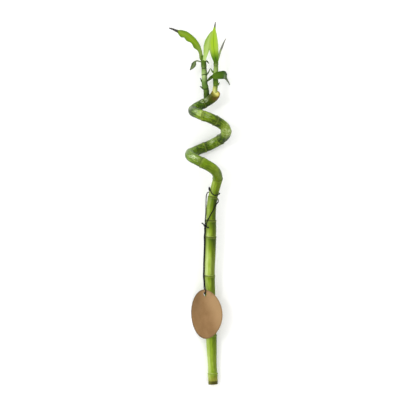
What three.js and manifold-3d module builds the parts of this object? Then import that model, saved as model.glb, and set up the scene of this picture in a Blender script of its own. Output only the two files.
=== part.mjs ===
import * as THREE from "three";
import { mergeVertices } from "three/addons/utils/BufferGeometryUtils.js";
import Module from "manifold-3d";

const wasm = await Module();
wasm.setup();

// A spiral lucky bamboo cane with two leafy shoots and a paper tag, lying on a surface at z = 0.
// Millimetres. X runs across the stalk, Y from its cut foot to its leaf tips, Z up.

// Cane
// Its radius by length from the cut foot: a waist over the foot, thickest under the string.
const CANE_RADII = [
  [0, 5.3],
  [9, 5.4],
  [18, 4.9],
  [26, 5.1],
  [40, 5.7],
  [52, 5.9],
  [62, 5.7],
  [120, 5.8],
  [160, 6.1],
  [178, 6],
  [188, 5.4],
  [204, 5.5],
  [214, 5.2],
  [240, 5.5],
  [262, 5.8],
  [280, 5.6],
  [400, 5.6],
  [440, 5.4],
  [468, 5.2],
];
const NODE_RISE = 0.4;
const NODE_HALF_LENGTH = 1.5;
const CANE_SIDES = 14;
const RING_SPACING = 4;
const STRAIGHT_RING_SPACING = 10;
const NODE_CLEAR = 1;
const END_CLEAR = 1;
const STRAIGHT_END = 195;
// The coils hold the crown off the surface, so the axis climbs along Y.
const AXIS_START = 4.93;
const AXIS_SLOPE = 0.0822;
// Its joints by length from the cut foot.
const CANE_NODES = [
  12, 55, 87, 121.5, 165, 183.5, 209, 232, 266, 297, 320, 341, 361, 389, 403, 428, 448,
];

// Coil: turned left-handed about X = 0, angles in degrees from +X towards +Z
const COIL_PITCH = 49.2;
const COIL_FROM = 75;
const COIL_TO = 678;
const COIL_STEP = 15;
const LEFT_TURN_ANGLE = 180;
const LEFT_TURN_Y = 255.3;
const COIL_RADII = [
  [75, 15.4],
  [105, 18.4],
  [150, 20.4],
  [180, 21.4],
  [270, 21.5],
  [315, 20.6],
  [360, 18.8],
  [405, 19.3],
  [450, 20.2],
  [540, 17.6],
  [600, 15.6],
  [640, 13.4],
  [678, 9.6],
];
// How far the hand-bent turns stray along Y from an even pitch.
const COIL_STRAY = [
  [75, -1],
  [105, 0.2],
  [135, 0.8],
  [180, 0],
  [225, -1.7],
  [270, -1.5],
  [315, 0.6],
  [360, 2],
  [405, 3],
  [450, 3.9],
  [495, 3],
  [540, 0],
  [600, -1],
  [678, 0],
];

// Leaves
const BLADE_THICKNESS = 0.7;
const BLADE_ROWS = 15;
const ARCHING_ROWS = 34;
const BLADE_COLUMNS = 4;
// Per blade: half waves up and down at its edges, and scallops along its left edge
const EDGE_WAVES = 9;
const EDGE_SCALLOPS = 4.87;
const SCALE_ROWS = 5;
const SCALE_COLUMNS = 2;
const STEM_SIDES = 12;
const STEM_RINGS = 20;

// Tag: an oval card that leans over the cane with its left edge on the surface
const TAG_WIDTH = 44;
const TAG_LENGTH = 55;
const TAG_THICKNESS = 0.7;
const TAG_Y = 78.4;
const TAG_TURN = 2.4;
const TAG_LEAN = 46;
const TAG_FLAT_END = 3;
const TAG_SEAT = 1;
const TAG_REACH = 6.4;
const TAG_LIFT = 2.4;
const TAG_HOLE_RADIUS = 2.4;
const TAG_HOLE_INSET = 5;
const TAG_SPOKES = 36;
const TAG_RINGS = 6;
const TAG_RING_GROWTH = 1.3;

// String
const STRING_RADIUS = 0.6;
const STRING_SIDES = 8;
const KNOT_RADIUS = 1.9;
const KNOT_SQUASH = [1, 1.25, 0.85];
const KNOT_SIDES = 10;
const KNOT_RINGS = 7;
const KNOT_PLACE = [176.8, 140, 8.3];
const TAIL_RADIUS = 0.85;
// Both tails, measured from the knot.
const TAILS = [
  [[0, 0, 0], [-1.3, 1.3, 0.6], [-2.6, 2.4, 0], [-3.6, 3, -1.2]],
  [[0, 0, 0], [1.3, -1, 1], [2.9, -1.7, 1.4], [4.3, -1.9, 1.5]],
];
const TIE_STEPS = 78;
const TAIL_STEPS = 6;
const LOOP_STEPS = 78;

const GAP = 0.3;
const SURFACE_BLOCK = [200, 600, 20];
const SURFACE_BLOCK_Y = 200;
const LEAST_SHARE = 0.05;
const WELD_DISTANCE = 1e-4;
const SEARCH_STEP = 1e-5;
const LENGTH_SAMPLES = 2000;

const GREEN_ROUGHNESS = 0.45;
const LEAF_ROUGHNESS = 0.5;
const CARD_ROUGHNESS = 0.9;
const CANE_COLOUR = 0x6f9a2a;
const LEFT_STEM_COLOUR = 0x4f7a28;
const RIGHT_STEM_COLOUR = 0x7d9a3c;
const CARD_COLOUR = 0xa5825f;
const STRING_COLOUR = 0x18181a;

const vector = (point) => new THREE.Vector3(...point);
const smooth = (points) => new THREE.CatmullRomCurve3(points.map(vector), false, "centripetal");
const radians = THREE.MathUtils.degToRad;
const axisHeight = (y) => AXIS_START + AXIS_SLOPE * y;

// Reads a list of [position, value] pairs at a position, straight between them.
function interpolate(pairs, position) {
  const next = pairs.findIndex(([at]) => at >= position);
  if (next === 0) {
    return pairs[0][1];
  }
  if (next < 0) {
    return pairs[pairs.length - 1][1];
  }
  const [from, low] = pairs[next - 1];
  const [to, high] = pairs[next];
  return low + ((high - low) * (position - from)) / (to - from);
}

function solid(geometry) {
  const bare = new THREE.BufferGeometry();
  bare.setAttribute("position", geometry.getAttribute("position"));
  bare.setIndex(geometry.index);
  const merged = mergeVertices(bare, WELD_DISTANCE);
  return new wasm.Manifold(
    new wasm.Mesh({
      numProp: 3,
      vertProperties: new Float32Array(merged.attributes.position.array),
      triVerts: new Uint32Array(merged.index.array),
    }),
  );
}

function geometryOf(shape) {
  const mesh = shape.getMesh();
  const geometry = new THREE.BufferGeometry();
  geometry.setAttribute("position", new THREE.BufferAttribute(mesh.vertProperties, 3));
  geometry.setIndex(new THREE.BufferAttribute(mesh.triVerts, 1));
  geometry.computeVertexNormals();
  return geometry;
}

// The biggest body that a cut leaves.
function mainBody(shape) {
  const bodies = shape.decompose();
  return bodies.reduce((best, body) => (body.volume() > best.volume() ? body : best));
}

// A closed round sweep along a path, with its own radius at each ring.
function sweep(path, stations, radiusAt, sides) {
  const positions = [];
  const faces = [];
  let normal = new THREE.Vector3(0, 0, 1);
  for (const station of stations) {
    const centre = path.getPointAt(station);
    const tangent = path.getTangentAt(station);
    normal = normal.clone().addScaledVector(tangent, -normal.dot(tangent)).normalize();
    const side = new THREE.Vector3().crossVectors(tangent, normal);
    const radius = radiusAt(station);
    for (let j = 0; j < sides; j++) {
      const angle = (2 * Math.PI * j) / sides;
      const point = centre.clone();
      point.addScaledVector(normal, radius * Math.cos(angle));
      point.addScaledVector(side, radius * Math.sin(angle));
      positions.push(point.x, point.y, point.z);
    }
  }
  const last = (stations.length - 1) * sides;
  for (let i = 0; i < last; i += sides) {
    for (let j = 0; j < sides; j++) {
      const next = (j + 1) % sides;
      faces.push(i + j, i + next, i + sides + j);
      faces.push(i + next, i + sides + next, i + sides + j);
    }
  }
  for (let j = 1; j < sides - 1; j++) {
    faces.push(0, j + 1, j);
    faces.push(last, last + j, last + j + 1);
  }
  const geometry = new THREE.BufferGeometry();
  geometry.setAttribute("position", new THREE.Float32BufferAttribute(positions, 3));
  geometry.setIndex(faces);
  return geometry;
}

const evenly = (count) => Array.from({ length: count + 1 }, (_, i) => i / count);

// The two skins of a sheet, row by row, closed round its rim.
function closeSheet(top, bottom, rows, columns) {
  const positions = [...top, ...bottom].flatMap((point) => point.toArray());
  const under = top.length;
  const at = (row, column) => row * (columns + 1) + column;
  const faces = [];
  const wall = (a, b) => faces.push(b, a, under + a, b, under + a, under + b);
  for (let i = 0; i < rows; i++) {
    for (let j = 0; j < columns; j++) {
      const [a, b, c, d] = [at(i, j), at(i, j + 1), at(i + 1, j + 1), at(i + 1, j)];
      faces.push(a, b, c, a, c, d);
      faces.push(under + a, under + c, under + b, under + a, under + d, under + c);
    }
    wall(at(i + 1, 0), at(i, 0));
    wall(at(i, columns), at(i + 1, columns));
  }
  for (let j = 0; j < columns; j++) {
    wall(at(0, j), at(0, j + 1));
    wall(at(rows, j + 1), at(rows, j));
  }
  const geometry = new THREE.BufferGeometry();
  geometry.setAttribute("position", new THREE.Float32BufferAttribute(positions, 3));
  geometry.setIndex(faces);
  return geometry;
}

// Shifts points so that the lowest meets the surface, each by its own share of the shift.
function rest(points, shares) {
  let shift = -Infinity;
  points.forEach((point, i) => {
    if (shares[i] > LEAST_SHARE) {
      shift = Math.max(shift, -point.z / shares[i]);
    }
  });
  points.forEach((point, i) => {
    point.z += shift * shares[i];
  });
}

// A leaf blade: both halves rise from its midrib by the fold, and its edges wave and are scalloped.
function blade(leaf) {
  const { midrib, widths, facing, fold, waves = 0, scallops = 0 } = leaf;
  const { rows = BLADE_ROWS, columns = BLADE_COLUMNS } = leaf;
  const path = smooth(midrib);
  const top = [];
  const bottom = [];
  const shares = [];
  evenly(rows).forEach((t) => {
    const centre = path.getPointAt(t);
    const tangent = path.getTangentAt(t);
    const normal = vector(facing).addScaledVector(tangent, -tangent.dot(vector(facing))).normalize();
    const side = new THREE.Vector3().crossVectors(tangent, normal);
    const halfWidth = interpolate(widths, t);
    const scallop = scallops * Math.sin(2 * Math.PI * EDGE_SCALLOPS * t);
    for (let j = 0; j <= columns; j++) {
      const across = (2 * j) / columns - 1;
      const reach = across * halfWidth * (1 + scallop * Math.max(0, -across));
      const ripple = waves * across * across * Math.sin(EDGE_WAVES * t * Math.PI + across);
      const point = centre.clone().addScaledVector(side, reach);
      point.addScaledVector(normal, halfWidth * (fold * Math.abs(across) + ripple));
      top.push(point.clone().addScaledVector(normal, BLADE_THICKNESS / 2));
      bottom.push(point.clone().addScaledVector(normal, -BLADE_THICKNESS / 2));
      shares.push(t * t);
    }
  });
  if (leaf.rests) {
    const both = [...top, ...bottom];
    rest(both, [...shares, ...shares]);
  }
  return solid(closeSheet(top, bottom, rows, columns));
}

function canePath() {
  const points = [
    [4.4, 0, 0.36],
    [3.8, 14, 0.3],
    [2.6, 48, 0],
    [1.6, 78, 0],
    [0.9, 105, 0],
    [0.6, 130, 0],
    [1.4, 150, 0],
    [1.8, 172, 0],
    [2.1, 190, 0],
    [2.7, 200, -0.8],
    [4.6, 211, -2.4],
    [7.2, 220.5, -2.8],
    [9.4, 229, 0.4],
    [8, 235.4, 7.6],
  ];
  for (let angle = COIL_FROM; angle < COIL_TO + COIL_STEP; angle += COIL_STEP) {
    const turn = Math.min(angle, COIL_TO);
    const radius = interpolate(COIL_RADII, turn);
    const even = LEFT_TURN_Y + ((turn - LEFT_TURN_ANGLE) / 360) * COIL_PITCH;
    const y = even + interpolate(COIL_STRAY, turn);
    points.push([radius * Math.cos(radians(turn)), y, radius * Math.sin(radians(turn))]);
  }
  return smooth(points.map(([x, y, z]) => [x, y, z + axisHeight(y)]));
}

const cane = canePath();
cane.arcLengthDivisions = LENGTH_SAMPLES;
const caneLength = cane.getLength();

// Each joint stands out as a low ring.
function caneRadius(station) {
  const at = station * caneLength;
  const distance = Math.min(...CANE_NODES.map((node) => Math.abs(node - at)));
  const ring = Math.max(0, 1 - distance / NODE_HALF_LENGTH);
  return interpolate(CANE_RADII, at) + NODE_RISE * ring;
}

function caneStations() {
  const places = [0, caneLength];
  for (const node of CANE_NODES) {
    places.push(node - NODE_HALF_LENGTH, node, node + NODE_HALF_LENGTH);
  }
  let at = STRAIGHT_RING_SPACING;
  while (at < caneLength - END_CLEAR) {
    const here = at;
    if (CANE_NODES.every((node) => Math.abs(node - here) > NODE_HALF_LENGTH + NODE_CLEAR)) {
      places.push(here);
    }
    at += here < STRAIGHT_END ? STRAIGHT_RING_SPACING : RING_SPACING;
  }
  return places.sort((a, b) => a - b).map((place) => place / caneLength);
}

// A wide block under the surface, which trims the lowest coil to a small flat.
function surface() {
  const block = new THREE.BoxGeometry(...SURFACE_BLOCK);
  block.translate(0, SURFACE_BLOCK_Y, -SURFACE_BLOCK[2] / 2);
  return solid(block);
}

// The space that a swept piece and the gap round it take, past its far end too.
function clearance(path, stations, radiusAt, sides) {
  const shell = () => sweep(path, stations, (station) => radiusAt(station) + GAP, sides);
  const past = shell();
  past.translate(...path.getTangentAt(1).multiplyScalar(GAP));
  return solid(shell()).add(solid(past));
}

const caneSolid = solid(sweep(cane, caneStations(), caneRadius, CANE_SIDES)).subtract(surface());
const caneClearance = clearance(cane, caneStations(), caneRadius, CANE_SIDES);

// A shoot's stem: sheaths wrap it in overlapping steps, and scale leaves stand out from them.
function shootStem({ path, radii, scales }) {
  const route = smooth(path);
  const stem = solid(sweep(route, evenly(STEM_RINGS), (station) => interpolate(radii, station), STEM_SIDES));
  return scales.reduce((whole, scale) => whole.add(blade(scale)), stem);
}

const scaleLeaf = (midrib, halfWidth, facing) => ({
  midrib,
  widths: [
    [0, halfWidth],
    [0.5, halfWidth],
    [1, 0.4],
  ],
  facing,
  fold: 0.3,
  rows: SCALE_ROWS,
  columns: SCALE_COLUMNS,
});

const leftShoot = {
  path: [
    [-2.6, 315, 16],
    [-2.9, 321, 16.2],
    [-3.3, 328, 17.3],
    [-4.9, 334, 18.2],
    [-5.1, 340, 19],
    [-5.4, 347, 20],
    [-5.9, 354, 21],
    [-6.4, 360, 21.8],
    [-7, 366, 22.4],
  ],
  radii: [
    [0, 3.3],
    [0.15, 3.3],
    [0.3, 3.1],
    [0.31, 3.5],
    [0.45, 3.2],
    [0.56, 2.9],
    [0.57, 3.3],
    [0.75, 2.8],
    [0.76, 3.1],
    [0.9, 2.9],
    [1, 2.3],
  ],
  scales: [
    scaleLeaf([[-6, 328.5, 18], [-8, 330.5, 18.4], [-10.2, 331.8, 18.6]], 1, [0, 0, 1]),
    scaleLeaf([[-6, 334.5, 19], [-8.3, 337.5, 19.6], [-9.8, 341, 19.8]], 0.9, [0, 0, 1]),
    scaleLeaf([[-4.5, 343, 20.5], [-1.2, 346.5, 22.6], [1, 351, 23]], 0.8, [0, 0, 1]),
    scaleLeaf([[-4.5, 360, 22], [-2.4, 359.4, 22.6], [-0.4, 357, 22]], 0.9, [0, 0, 1]),
  ],
};

const rightShoot = {
  path: [
    [6.1, 321, 21],
    [6.5, 328, 22.6],
    [7.2, 334, 24],
    [7, 342, 25.2],
    [7.4, 350, 26.3],
    [7.5, 357, 27.2],
    [7.5, 364, 28],
  ],
  radii: [
    [0, 3],
    [0.2, 2.8],
    [0.3, 2.7],
    [0.31, 3],
    [0.5, 2.8],
    [0.51, 3.1],
    [0.62, 2.8],
    [0.8, 2.5],
    [0.81, 2.8],
    [0.92, 2.4],
    [1, 1.8],
  ],
  scales: [
    scaleLeaf([[8.6, 332, 24.2], [10.2, 333.6, 24.6], [11.2, 336, 24.4]], 0.8, [0, 0, 1]),
    scaleLeaf([[6.4, 345.5, 26.4], [3.6, 348, 27.6], [1.4, 351.4, 28]], 0.9, [0, 0, 1]),
  ],
};

const leaves = {
  left_leaf_arching: {
    stem: leftShoot,
    colour: 0x7c9c2c,
    midrib: [
      [-8, 361, 22],
      [-9.2, 367.4, 22.8],
      [-11.2, 373, 24.2],
      [-13.8, 377.2, 25.2],
      [-17.2, 381.4, 24.8],
      [-21.2, 385.4, 22.8],
      [-25.4, 388.6, 18.8],
      [-29.8, 390.8, 13.6],
      [-33.4, 392.7, 9.2],
      [-36.6, 394.4, 5.6],
      [-40.4, 396.2, 2.4],
      [-44.8, 397.6, 0.9],
    ],
    widths: [
      [0, 2],
      [0.1, 1.9],
      [0.18, 2.5],
      [0.26, 3.5],
      [0.46, 4.1],
      [0.58, 4.1],
      [0.66, 3.8],
      [0.72, 3.1],
      [0.79, 1.6],
      [0.86, 0.8],
      [1, 0.45],
    ],
    facing: [-0.2, -0.1, 1],
    fold: 0.32,
    waves: 0.14,
    scallops: 0.18,
    rests: true,
    rows: ARCHING_ROWS,
  },
  left_leaf_bent: {
    stem: leftShoot,
    colour: 0x53622f,
    midrib: [
      [-7.6, 358.4, 22],
      [-10, 359, 23.2],
      [-12, 359.6, 24],
      [-14, 359.8, 24],
      [-15.4, 358.8, 23],
      [-16.6, 356.4, 21.2],
      [-18.4, 353.4, 18.8],
      [-21.2, 350, 15.6],
    ],
    widths: [
      [0, 0.6],
      [0.36, 0.7],
      [0.46, 2],
      [0.6, 2.8],
      [0.8, 1.8],
      [1, 0.4],
    ],
    facing: [-0.1, 0.2, 1],
    fold: 0.25,
  },
  left_leaf_upright: {
    stem: leftShoot,
    colour: 0xb4d67c,
    midrib: [
      [-5.6, 360, 24],
      [-4.2, 366.5, 24.9],
      [-2.7, 374, 25.4],
      [-1.2, 381, 25.8],
      [0.5, 387, 25.6],
      [2.9, 392.8, 24.8],
    ],
    widths: [
      [0, 1.6],
      [0.2, 2.3],
      [0.45, 3.8],
      [0.65, 3.6],
      [0.85, 1.8],
      [1, 0.45],
    ],
    facing: [0, 0, 1],
    fold: 0.3,
    waves: 0.06,
  },
  right_leaf_broad: {
    stem: rightShoot,
    colour: 0xa6cb3e,
    midrib: [
      [7.3, 359, 28.4],
      [6.3, 366, 29.6],
      [5.1, 374, 30.8],
      [4.8, 381.5, 31.6],
      [5.1, 388, 31.8],
      [5.7, 394, 31.4],
      [6.4, 398.6, 30.8],
      [6.8, 402.8, 30],
    ],
    widths: [
      [0, 2.4],
      [0.08, 3.4],
      [0.16, 4.3],
      [0.28, 4.9],
      [0.4, 5.1],
      [0.54, 4.7],
      [0.68, 3.4],
      [0.79, 1.7],
      [0.88, 0.9],
      [1, 0.45],
    ],
    facing: [0, 0, 1],
    fold: 0.34,
    waves: 0.05,
  },
  right_leaf_narrow: {
    stem: rightShoot,
    colour: 0x6f7b4b,
    midrib: [
      [8.2, 356, 26.6],
      [10.2, 363, 26],
      [12.2, 370.5, 26],
      [14.8, 377, 26],
      [16.6, 381.2, 25.4],
      [18.7, 384.8, 24.2],
    ],
    widths: [
      [0, 1.2],
      [0.3, 1.7],
      [0.65, 1.9],
      [0.85, 1.1],
      [1, 0.4],
    ],
    facing: [0.85, -0.3, 0.5],
    fold: 0.15,
  },
  right_leaf_folded: {
    stem: rightShoot,
    colour: 0x3e6524,
    midrib: [
      [3.8, 342, 27],
      [7.2, 343, 29],
      [10.6, 343.6, 28.8],
      [13.6, 344, 27.6],
      [16, 344.2, 25],
      [17.2, 343.6, 21],
      [17.8, 342.4, 16.6],
      [18.8, 340.6, 12],
      [20.2, 338.6, 7.6],
      [21.8, 336.4, 3.6],
      [23, 334, 1],
    ],
    widths: [
      [0, 1.8],
      [0.08, 3.4],
      [0.18, 4.3],
      [0.32, 4.6],
      [0.42, 4],
      [0.55, 2.5],
      [0.68, 1.3],
      [0.85, 0.8],
      [1, 0.45],
    ],
    facing: [0.3, 0, 1],
    fold: 0.22,
    waves: 0.06,
    rests: true,
  },
  right_leaf_low: {
    stem: rightShoot,
    colour: 0x4a6a28,
    midrib: [
      [6.4, 343.6, 24],
      [3.4, 342.2, 24.8],
      [1.2, 340.4, 25.2],
      [-1, 338.4, 24.8],
      [-2.6, 336.4, 23.6],
    ],
    widths: [
      [0, 1.2],
      [0.3, 1.9],
      [0.6, 1.6],
      [1, 0.4],
    ],
    facing: [0, 0, 1],
    fold: 0.25,
  },
};

const stemClearance = ({ path, radii }) =>
  clearance(smooth(path), evenly(STEM_RINGS), (station) => interpolate(radii, station), STEM_SIDES);

// The tag's own plane bends round the cane: straight and steep from the surface, then flatter.
function layOverCane(across, along) {
  const turn = radians(TAG_TURN);
  const s = across * Math.cos(turn) + along * Math.sin(turn);
  const q = along * Math.cos(turn) - across * Math.sin(turn);
  const lean = radians(TAG_LEAN);
  const bend = (TAG_WIDTH / 2 - TAG_SEAT) / (lean - radians(TAG_FLAT_END));
  const reach = TAG_REACH + TAG_LIFT * (0.5 + q / TAG_LENGTH);
  const past = Math.max(0, s - TAG_SEAT) / bend;
  const before = Math.min(0, s - TAG_SEAT);
  const y = TAG_Y + q;
  const x =
    centreAt(TAG_Y).x -
    reach * Math.sin(lean) +
    before * Math.cos(lean) +
    bend * (Math.sin(lean) - Math.sin(lean - past));
  const z =
    axisHeight(y) +
    reach * Math.cos(lean) +
    before * Math.sin(lean) +
    bend * (Math.cos(lean - past) - Math.cos(lean));
  const normal = new THREE.Vector3(-Math.sin(lean - past), 0, Math.cos(lean - past));
  return { point: new THREE.Vector3(x, y, z), normal };
}

// The straight cane's centre at a place along Y, found by halving.
function centreAt(y) {
  let low = 0;
  let high = 0.5;
  while (high - low > SEARCH_STEP) {
    const middle = (low + high) / 2;
    if (cane.getPointAt(middle).y < y) {
      low = middle;
    } else {
      high = middle;
    }
  }
  return cane.getPointAt(low);
}

function tagSolid() {
  const top = [];
  const bottom = [];
  const shares = [];
  const holeAlong = TAG_LENGTH / 2 - TAG_HOLE_INSET;
  for (let ring = 0; ring <= TAG_RINGS; ring++) {
    const out = (ring / TAG_RINGS) ** TAG_RING_GROWTH;
    for (let spoke = 0; spoke < TAG_SPOKES; spoke++) {
      const angle = (2 * Math.PI * spoke) / TAG_SPOKES;
      const holeX = TAG_HOLE_RADIUS * Math.cos(angle);
      const holeY = holeAlong + TAG_HOLE_RADIUS * Math.sin(angle);
      const rimX = (TAG_WIDTH / 2) * Math.cos(angle);
      const rimY = (TAG_LENGTH / 2) * Math.sin(angle);
      const across = THREE.MathUtils.lerp(holeX, rimX, out);
      const along = THREE.MathUtils.lerp(holeY, rimY, out);
      const { point, normal } = layOverCane(across, along);
      top.push(point.clone().addScaledVector(normal, TAG_THICKNESS / 2));
      bottom.push(point.clone().addScaledVector(normal, -TAG_THICKNESS / 2));
      shares.push(Math.max(0, -across / (TAG_WIDTH / 2)) ** 2);
    }
  }
  rest([...top, ...bottom], [...shares, ...shares]);
  const positions = [...top, ...bottom].flatMap((point) => point.toArray());
  const under = top.length;
  const faces = [];
  for (let ring = 0; ring < TAG_RINGS; ring++) {
    for (let spoke = 0; spoke < TAG_SPOKES; spoke++) {
      const next = (spoke + 1) % TAG_SPOKES;
      const a = ring * TAG_SPOKES + spoke;
      const b = ring * TAG_SPOKES + next;
      const c = b + TAG_SPOKES;
      const d = a + TAG_SPOKES;
      faces.push(a, d, c, a, c, b);
      faces.push(under + a, under + c, under + d, under + a, under + b, under + c);
    }
  }
  for (let spoke = 0; spoke < TAG_SPOKES; spoke++) {
    const next = (spoke + 1) % TAG_SPOKES;
    const rim = TAG_RINGS * TAG_SPOKES;
    faces.push(spoke, next, under + next, spoke, under + next, under + spoke);
    faces.push(rim + spoke, under + rim + next, rim + next);
    faces.push(rim + spoke, under + rim + spoke, under + rim + next);
  }
  const geometry = new THREE.BufferGeometry();
  geometry.setAttribute("position", new THREE.Float32BufferAttribute(positions, 3));
  geometry.setIndex(faces);
  return solid(geometry);
}

// The string's two turns round the cane, as [place along Y, angle round the cane, distance out].
const TIE = [
  [178, 144, 7],
  [180.7, 133, 6.75],
  [184, 118, 7],
  [187, 104, 6.6],
  [190, 90, 6.45],
  [193.7, 71, 6.4],
  [198, 50, 6.4],
  [200.8, 36, 6.5],
  [203, 10, 6.8],
  [206, -28, 7.2],
  [209.5, -65, 7.8],
  [212.8, -100, 8.1],
  [216, -135, 8.1],
  [219, -165, 7.3],
  [219.6, -188, 6.9],
  [217.4, -215, 6.7],
  [213.9, -243, 6.7],
  [211.7, -264, 6.8],
  [210.7, -287, 6.9],
  [211, -314, 6.8],
  [212.3, -345, 6.7],
  [213, -380, 6.6],
  [213.5, -420, 6.6],
  [214, -460, 6.6],
  [214.3, -500, 6.8],
  [213.4, -526, 7.3],
  [210, -538, 7.5],
  [205, -545, 6.9],
  [198, -557, 6.4],
  [191, -562, 6.35],
  [186, -564, 6.75],
  [182.5, -565, 7],
  [178.6, -569, 7.1],
];

const besideCane = (y, angle, distance) => {
  const centre = centreAt(y);
  return [
    centre.x + distance * Math.cos(radians(angle)),
    y,
    centre.z + distance * Math.sin(radians(angle)),
  ];
};

function stringTube(points, steps, radius) {
  const section = evenly(STRING_SIDES).slice(1).map((turn) => {
    const angle = 2 * Math.PI * turn;
    return new THREE.Vector2(radius * Math.cos(angle), radius * Math.sin(angle));
  });
  const along = { steps, extrudePath: smooth(points) };
  return solid(new THREE.ExtrudeGeometry(new THREE.Shape(section), along));
}

// The free loop: from the knot beside the cane, over the tag's edge, down through its hole and back.
const LOOP = [
  [-4.1, 173.4, 24],
  [-4, 170, 23.2],
  [-4.6, 165, 22.4],
  [-4.6, 158, 21.3],
  [-4.9, 150, 20.2],
  [-5.2, 142, 19.5],
  [-5.5, 134, 18.9],
  [-5.5, 127, 18.5],
  [-5.7, 121, 18.6],
  [-5, 115, 19.3],
  [-4.6, 110, 20.7],
  [-4.2, 106.6, 21.7],
  [-4.1, 103.6, 22],
  [-4.17, 102.1, 21.6],
  [-4.38, 101, 20.5],
  [-4.65, 100.6, 19.05],
  [-4.92, 101, 17.6],
  [-5.13, 102.1, 16.5],
  [-5.2, 103.6, 16.1],
  [-5.5, 106.5, 15.9],
  [-5.7, 110, 15.8],
  [-5.9, 115, 15.9],
  [-6.4, 121, 16.3],
  [-6.2, 128, 16.5],
  [-6.1, 136, 17],
  [-5.8, 144, 17.7],
  [-5.5, 152, 18.5],
  [-5.4, 159, 19.3],
  [-5.5, 165, 20.4],
  [-5, 170, 21.3],
  [-5.2, 173.4, 22.4],
];

function knotSolid(centre) {
  const lump = new THREE.SphereGeometry(KNOT_RADIUS, KNOT_SIDES, KNOT_RINGS);
  lump.scale(...KNOT_SQUASH);
  lump.translate(...centre);
  return solid(lump);
}

function stringTie() {
  const knot = besideCane(...KNOT_PLACE);
  const [x, y, z] = knot;
  const tails = TAILS.map((tail) => tail.map(([a, b, c]) => [x + a, y + b, z + c]));
  const turns = stringTube(TIE.map((place) => besideCane(...place)), TIE_STEPS, STRING_RADIUS);
  const wound = turns.add(knotSolid(knot));
  return tails.reduce((whole, tail) => whole.add(stringTube(tail, TAIL_STEPS, TAIL_RADIUS)), wound);
}

const material = (colour, roughness) =>
  new THREE.MeshStandardMaterial({ color: colour, roughness, metalness: 0 });

const part = new THREE.Group();

function place(name, shape, finish) {
  const mesh = new THREE.Mesh(geometryOf(shape), finish);
  mesh.name = name;
  part.add(mesh);
}

const leftStem = mainBody(shootStem(leftShoot).subtract(caneClearance));
const rightStem = mainBody(shootStem(rightShoot).subtract(caneClearance));
const black = material(STRING_COLOUR, CARD_ROUGHNESS);

place("cane", mainBody(caneSolid), material(CANE_COLOUR, GREEN_ROUGHNESS));
place("left_shoot_stem", leftStem, material(LEFT_STEM_COLOUR, GREEN_ROUGHNESS));
place("right_shoot_stem", rightStem, material(RIGHT_STEM_COLOUR, GREEN_ROUGHNESS));
for (const [name, leaf] of Object.entries(leaves)) {
  const trimmed = mainBody(blade(leaf).subtract(stemClearance(leaf.stem)));
  place(name, trimmed, material(leaf.colour, LEAF_ROUGHNESS));
}
place("tag", tagSolid(), material(CARD_COLOUR, CARD_ROUGHNESS));
place("string_tie", stringTie(), black);
place("string_loop", stringTube(LOOP, LOOP_STEPS, STRING_RADIUS), black);

// The origin is the middle of the underside of the part's box.
const middle = new THREE.Box3().setFromObject(part, true).getCenter(new THREE.Vector3());
part.position.set(-middle.x, -middle.y, 0);

export default part;
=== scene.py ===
import math

import bpy
import numpy as np
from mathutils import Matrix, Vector, noise


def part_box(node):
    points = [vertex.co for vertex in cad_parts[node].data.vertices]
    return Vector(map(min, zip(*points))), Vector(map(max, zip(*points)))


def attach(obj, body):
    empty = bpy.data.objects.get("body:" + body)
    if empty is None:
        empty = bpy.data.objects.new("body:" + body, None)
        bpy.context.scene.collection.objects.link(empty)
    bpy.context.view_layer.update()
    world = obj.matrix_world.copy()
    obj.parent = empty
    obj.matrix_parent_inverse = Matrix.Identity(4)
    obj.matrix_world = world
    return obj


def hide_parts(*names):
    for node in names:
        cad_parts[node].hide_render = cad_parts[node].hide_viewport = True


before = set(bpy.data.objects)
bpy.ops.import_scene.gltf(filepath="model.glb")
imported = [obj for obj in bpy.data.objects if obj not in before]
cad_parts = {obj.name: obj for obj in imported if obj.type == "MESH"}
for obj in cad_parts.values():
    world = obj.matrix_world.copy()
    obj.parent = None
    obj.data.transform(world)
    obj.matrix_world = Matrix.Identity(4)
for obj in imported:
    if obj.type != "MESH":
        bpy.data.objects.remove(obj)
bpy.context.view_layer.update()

MM = 0.001

# Camera: straight above the stalk, its foot at the bottom of the picture, in metres
CAMERA_PLACE = (0.0, 0.004, 3.6)
CAMERA_LENS = 290
CAMERA_REACH = 20

# The shapes are in millimetres along the stalk's own axes: X across it, Y from its cut foot to its
# leaf tips, Z up. Their angles are in degrees, except where a comment says radians.

# Points on each span of a smooth curve, and the share of its length that a tangent is read over
SPAN_POINTS = 24
TANGENT_SHARE = 0.002
# A fold in a piece's surface that is sharper than this is shaded as an edge.
SHARP_ANGLE = 50

# Cane
# Its radius by length from the cut foot
CANE_RADII = [
    [0, 5.3], [9, 5.4], [18, 4.9], [26, 5.1], [40, 5.7], [52, 5.9], [62, 5.7], [120, 5.8],
    [160, 6.1], [178, 6], [188, 5.4], [204, 5.5], [214, 5.2], [240, 5.5], [262, 5.8], [280, 5.6],
    [400, 5.6], [440, 5.4], [468, 5.2],
]
# The coils hold the crown off the surface, so the axis climbs along Y.
AXIS_START = 4.93
AXIS_SLOPE = 0.0822
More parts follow.
